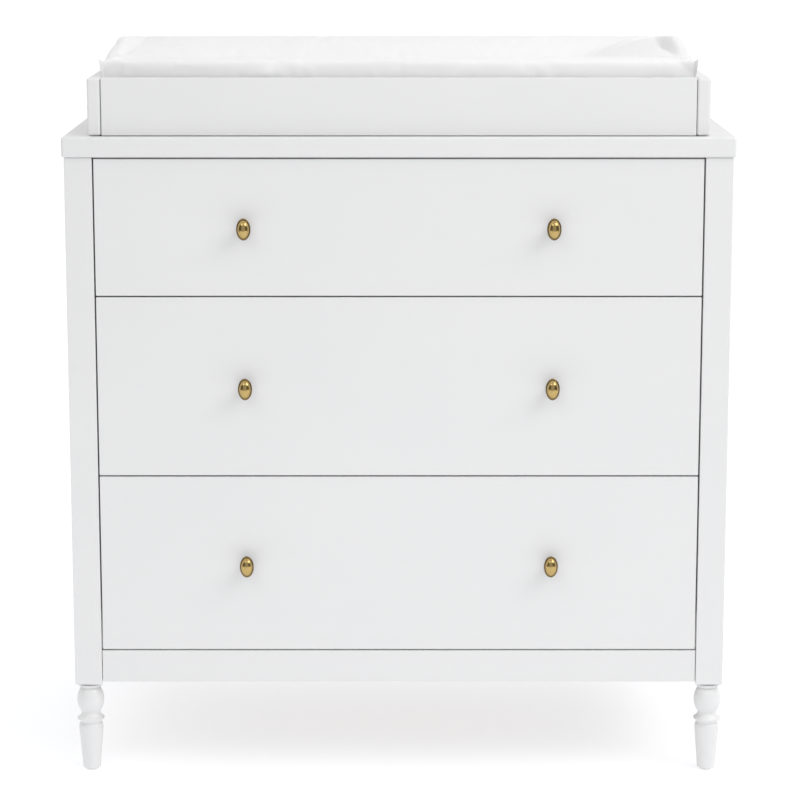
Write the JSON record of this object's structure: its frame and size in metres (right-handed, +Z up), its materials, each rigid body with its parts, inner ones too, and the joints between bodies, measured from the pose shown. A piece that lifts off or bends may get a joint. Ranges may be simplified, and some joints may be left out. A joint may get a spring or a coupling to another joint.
{
  "type": "changing table",
  "caption": "Nursery dresser on turned feet, with drawers on telescopic slides, a framed changing tray fixed on top and a contoured changing pad in the tray.",
  "frame": {"origin": "on the floor, under the middle of the overall box, between the four feet", "axes": "+Z up, -Y out of the drawer fronts (+Y towards the back), +X to the right as seen from the front"},
  "size_m": [0.92, 0.512, 1.027],
  "materials": {
    "painted_wood": "satin",
    "drawer_board": "satin",
    "hardboard": "matte",
    "brass": "satin",
    "zinc_steel": "satin",
    "pad_cover": "satin",
    "nylon": "satin"
  },
  "bodies": {
    "case": {"top_board": "painted_wood", "post_front_left": "painted_wood", "post_front_right": "painted_wood", "post_back_left": "painted_wood", "post_back_right": "painted_wood", "turned_foot_front_left": "painted_wood", "turned_foot_front_right": "painted_wood", "turned_foot_back_left": "painted_wood", "turned_foot_back_right": "painted_wood", "side_panel_left": "painted_wood", "side_panel_right": "painted_wood", "bottom_rail_front": "painted_wood", "bottom_rail_back": "painted_wood", "back_sheet": "hardboard", "slide_top_case_left": "zinc_steel", "slide_top_case_right": "zinc_steel", "slide_middle_case_left": "zinc_steel", "slide_middle_case_right": "zinc_steel", "slide_bottom_case_left": "zinc_steel", "slide_bottom_case_right": "zinc_steel", "tray_front": "painted_wood", "tray_back": "painted_wood", "tray_side_left": "painted_wood", "tray_side_right": "painted_wood", "tray_plate_left": "zinc_steel", "tray_plate_right": "zinc_steel"},
    "top_drawer": {"drawer_top_front": "painted_wood", "drawer_top_side_left": "drawer_board", "drawer_top_side_right": "drawer_board", "drawer_top_back": "drawer_board", "drawer_top_bottom": "hardboard", "drawer_top_knob_left": "brass", "drawer_top_knob_right": "brass", "slide_top_drawer_left": "zinc_steel", "slide_top_drawer_right": "zinc_steel"},
    "middle_drawer": {"drawer_middle_front": "painted_wood", "drawer_middle_side_left": "drawer_board", "drawer_middle_side_right": "drawer_board", "drawer_middle_back": "drawer_board", "drawer_middle_bottom": "hardboard", "drawer_middle_knob_left": "brass", "drawer_middle_knob_right": "brass", "slide_middle_drawer_left": "zinc_steel", "slide_middle_drawer_right": "zinc_steel"},
    "bottom_drawer": {"drawer_bottom_front": "painted_wood", "drawer_bottom_side_left": "drawer_board", "drawer_bottom_side_right": "drawer_board", "drawer_bottom_back": "drawer_board", "drawer_bottom_bottom": "hardboard", "drawer_bottom_knob_left": "brass", "drawer_bottom_knob_right": "brass", "slide_bottom_drawer_left": "zinc_steel", "slide_bottom_drawer_right": "zinc_steel"},
    "top_slide_members": {"slide_top_middle_left": "zinc_steel", "slide_top_middle_right": "zinc_steel"},
    "middle_slide_members": {"slide_middle_middle_left": "zinc_steel", "slide_middle_middle_right": "zinc_steel"},
    "bottom_slide_members": {"slide_bottom_middle_left": "zinc_steel", "slide_bottom_middle_right": "zinc_steel"},
    "pad": {"changing_pad": "pad_cover"}
  },
  "joints": [
    {"name": "top_drawer_travel", "type": "slide", "parent": "case", "child": "top_drawer", "axis": [0, -1, 0], "range_m": [0, 0.36]},
    {"name": "middle_drawer_travel", "type": "slide", "parent": "case", "child": "middle_drawer", "axis": [0, -1, 0], "range_m": [0, 0.36]},
    {"name": "bottom_drawer_travel", "type": "slide", "parent": "case", "child": "bottom_drawer", "axis": [0, -1, 0], "range_m": [0, 0.36]},
    {"name": "top_members_travel", "type": "slide", "parent": "case", "child": "top_slide_members", "axis": [0, -1, 0], "range_m": [0, 0.18]},
    {"name": "middle_members_travel", "type": "slide", "parent": "case", "child": "middle_slide_members", "axis": [0, -1, 0], "range_m": [0, 0.18]},
    {"name": "bottom_members_travel", "type": "slide", "parent": "case", "child": "bottom_slide_members", "axis": [0, -1, 0], "range_m": [0, 0.18]},
    {"name": "pad_lift", "type": "slide", "parent": "case", "child": "pad", "axis": [0, 0, 1], "range_m": [0, 0.12]}
  ],
  "couplings": [
    {"joint": "top_members_travel", "follows": "top_drawer_travel", "ratio": 0.5},
    {"joint": "middle_members_travel", "follows": "middle_drawer_travel", "ratio": 0.5},
    {"joint": "bottom_members_travel", "follows": "bottom_drawer_travel", "ratio": 0.5}
  ]
}
